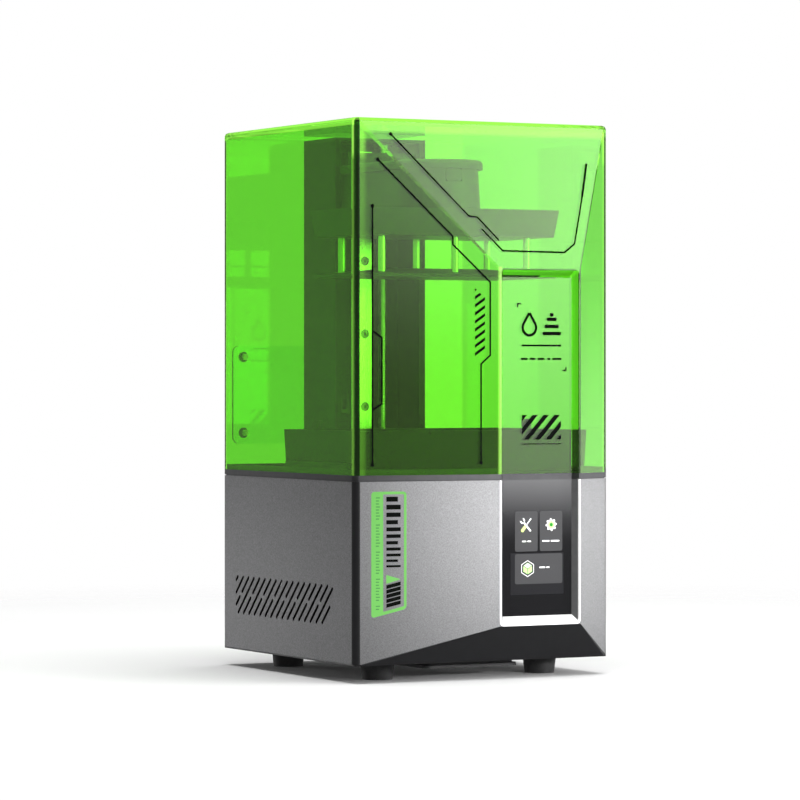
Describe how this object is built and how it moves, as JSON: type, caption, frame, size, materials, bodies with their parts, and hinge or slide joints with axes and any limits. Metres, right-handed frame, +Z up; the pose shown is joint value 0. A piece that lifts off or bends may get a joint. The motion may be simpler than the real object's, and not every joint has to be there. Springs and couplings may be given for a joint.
{
  "type": "resin printer",
  "caption": "Desktop resin printer: metal base with touch screen, tinted lift-off cover, vat over an exposure screen, and a screw-driven arm carrying the build platform.",
  "frame": {"origin": "on the surface the feet stand on, under the middle of the overall box", "axes": "+Z up, front with the touch screen towards -Y, +X to the right seen from the front"},
  "size_m": [0.236, 0.257, 0.4515],
  "materials": {
    "shell_metal": "fine speckled satin",
    "silver_panel": "fine speckled satin silver",
    "black_gloss": "satin black",
    "dark_plastic": "moulded matte",
    "rubber": "matte",
    "screw_steel": "satin",
    "bright_trim": "polished chamfer",
    "screen_glass": "gloss black",
    "display": "display",
    "ribbon": "flat cable",
    "deck": "fine texture",
    "lcd": "gloss",
    "lens": "clear",
    "pcb": "solder mask",
    "heatsink": "extruded",
    "tower_metal": "anodised black",
    "rail_steel": "ground",
    "brass": "turned",
    "motor": "coated",
    "arm_metal": "satin black",
    "post_steel": "turned",
    "plate_metal": "laser textured",
    "vat_metal": "anodised dark",
    "film": "clear film",
    "green_acrylic": "tinted clear acrylic"
  },
  "bodies": {
    "base": {"base_shell": "shell_metal", "front_fascia": "silver_panel", "front_chin": "black_gloss", "bottom_plate": "dark_plastic", "service_cover": "dark_plastic", "feet": "rubber", "foot_screws": "screw_steel", "screen_trim": "bright_trim", "screen_bezel": "black_gloss", "touch_glass": "screen_glass", "display_module": "display", "display_ribbon": "ribbon", "deck_frame": "deck", "deck_plate": "deck", "cover_seal": "rubber", "lcd_panel": "lcd", "lcd_tape": "black_gloss", "light_housing": "dark_plastic", "collimating_lens": "lens", "led_board": "pcb", "led_heatsink": "heatsink", "mainboard": "pcb", "fan_frame": "dark_plastic", "usb_socket": "screw_steel", "power_inlet": "dark_plastic", "switch_housing": "dark_plastic", "tower": "tower_metal", "tower_cap": "dark_plastic", "z_rail": "rail_steel", "rail_screws": "screw_steel", "z_motor": "motor", "top_bearing": "screw_steel", "home_sensor": "dark_plastic", "vat_guides": "dark_plastic"},
    "fan": {"fan_rotor": "dark_plastic"},
    "rocker": {"switch_rocker": "dark_plastic"},
    "z_screw": {"motor_shaft": "rail_steel", "shaft_coupler": "heatsink", "lead_screw": "rail_steel"},
    "arm": {"sensor_flag": "screw_steel", "rail_carriage": "rail_steel", "carriage_bracket": "arm_metal", "lead_nut": "brass", "arm_body": "arm_metal", "arm_lid": "dark_plastic", "arm_screws": "screw_steel", "platform_block": "arm_metal", "disc_springs": "screw_steel"},
    "button": {"release_button": "dark_plastic"},
    "plate": {"platform_posts": "post_steel", "build_plate": "plate_metal"},
    "vat": {"vat_body": "vat_metal", "vat_film": "film", "film_frame": "heatsink", "film_screws": "screw_steel"},
    "knob_left": {"vat_knob_left": "dark_plastic"},
    "knob_right": {"vat_knob_right": "dark_plastic"},
    "cover": {"cover": "green_acrylic", "cover_hatch": "green_acrylic", "hatch_screws": "screw_steel"}
  },
  "joints": [
    {"name": "cover_lift", "type": "slide", "parent": "base", "child": "cover", "axis": [0, 0, 1], "range_m": [0, 0.3]},
    {"name": "z_axis", "type": "slide", "parent": "base", "child": "arm", "axis": [0, 0, 1], "range_m": [-0.158, 0.0045]},
    {"name": "screw_spin", "type": "hinge", "parent": "base", "child": "z_screw", "pos_m": [0.016, 0.0895, 0.3], "axis": [0, 0, 1], "range_deg": [-28500, 1100]},
    {"name": "plate_float", "type": "slide", "parent": "arm", "child": "plate", "axis": [0, 0, 1], "range_m": [0, 0.003], "stiffness_N_per_m": 3000, "springref_m": -0.004, "deforming": ["disc_springs"]},
    {"name": "button_press", "type": "slide", "parent": "arm", "child": "button", "axis": [0, 1, 0], "range_m": [0, 0.0025], "stiffness_N_per_m": 400, "springref_m": -0.001},
    {"name": "vat_lift", "type": "slide", "parent": "base", "child": "vat", "axis": [0, 0, 1], "range_m": [0, 0.1]},
    {"name": "knob_left_turn", "type": "hinge", "parent": "vat", "child": "knob_left", "pos_m": [-0.0981, -0.0145, 0.2], "axis": [0, 0, 1], "range_deg": [0, 720]},
    {"name": "knob_right_turn", "type": "hinge", "parent": "vat", "child": "knob_right", "pos_m": [0.0981, -0.0145, 0.2], "axis": [0, 0, 1], "range_deg": [0, 720]},
    {"name": "fan_spin", "type": "hinge", "parent": "base", "child": "fan", "pos_m": [-0.062, 0.1165, 0.088], "axis": [0, 1, 0], "continuous": true},
    {"name": "rocker_tilt", "type": "hinge", "parent": "base", "child": "rocker", "pos_m": [0.062, 0.1227, 0.044], "axis": [0, 0, 1], "range_deg": [-8, 8]}
  ],
  "couplings": [
    {"joint": "screw_spin", "follows": "z_axis", "rad_per_m": 3141.6}
  ]
}
